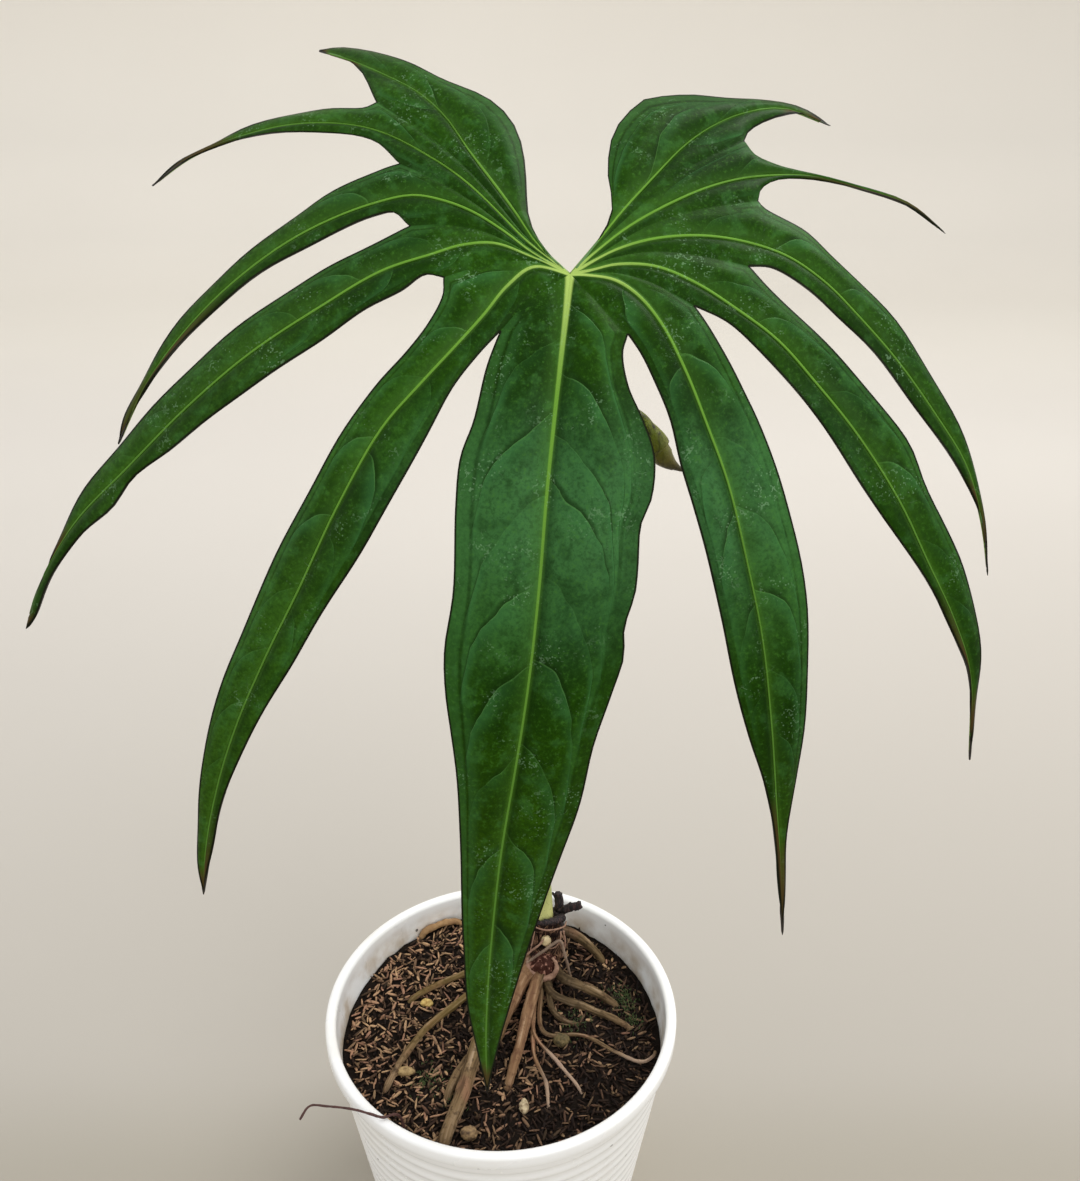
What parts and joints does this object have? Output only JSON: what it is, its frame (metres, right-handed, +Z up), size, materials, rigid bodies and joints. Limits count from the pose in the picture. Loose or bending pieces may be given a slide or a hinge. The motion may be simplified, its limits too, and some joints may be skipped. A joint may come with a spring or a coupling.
{
  "type": "potted anthurium pedatoradiatum",
  "caption": "Anthurium in a plain white tapered pot: a large glossy leaf cut into long pointed lobes on an upright stalk, a furled young leaf, and a rootstock with surface roots in husky mix.",
  "frame": {"origin": "middle of the pot's flat underside", "axes": "+Z up; -Y is the front, where the leaf's middle lobe hangs down before the pot's middle; +X to the right as seen from the front"},
  "size_m": [0.4144, 0.2123, 0.5934],
  "materials": {
    "white_plastic": "smooth, slightly soiled",
    "potting_mix": "rough, loose husks",
    "leaf_green": "glossy",
    "stalk_green": "satin",
    "young_olive": "satin",
    "root_tan": "rough, fibrous",
    "dry_brown": "matt, papery",
    "pebble_tan": "matt"
  },
  "bodies": {
    "root": {"leaf_blade": "leaf_green", "leaf_petiole": "stalk_green", "young_leaf": "young_olive", "young_petiole": "stalk_green", "rootstock": "root_tan", "dry_sheath": "dry_brown", "dry_rootlet": "dry_brown", "stray_rootlet": "dry_brown", "pot": "white_plastic", "potting_mix": "potting_mix", "pebble_brown": "pebble_tan", "pebble_chunk": "pebble_tan", "pebble_yellow": "pebble_tan", "pebble_pale": "pebble_tan", "pebble_lump": "pebble_tan"}
  },
  "joints": []
}
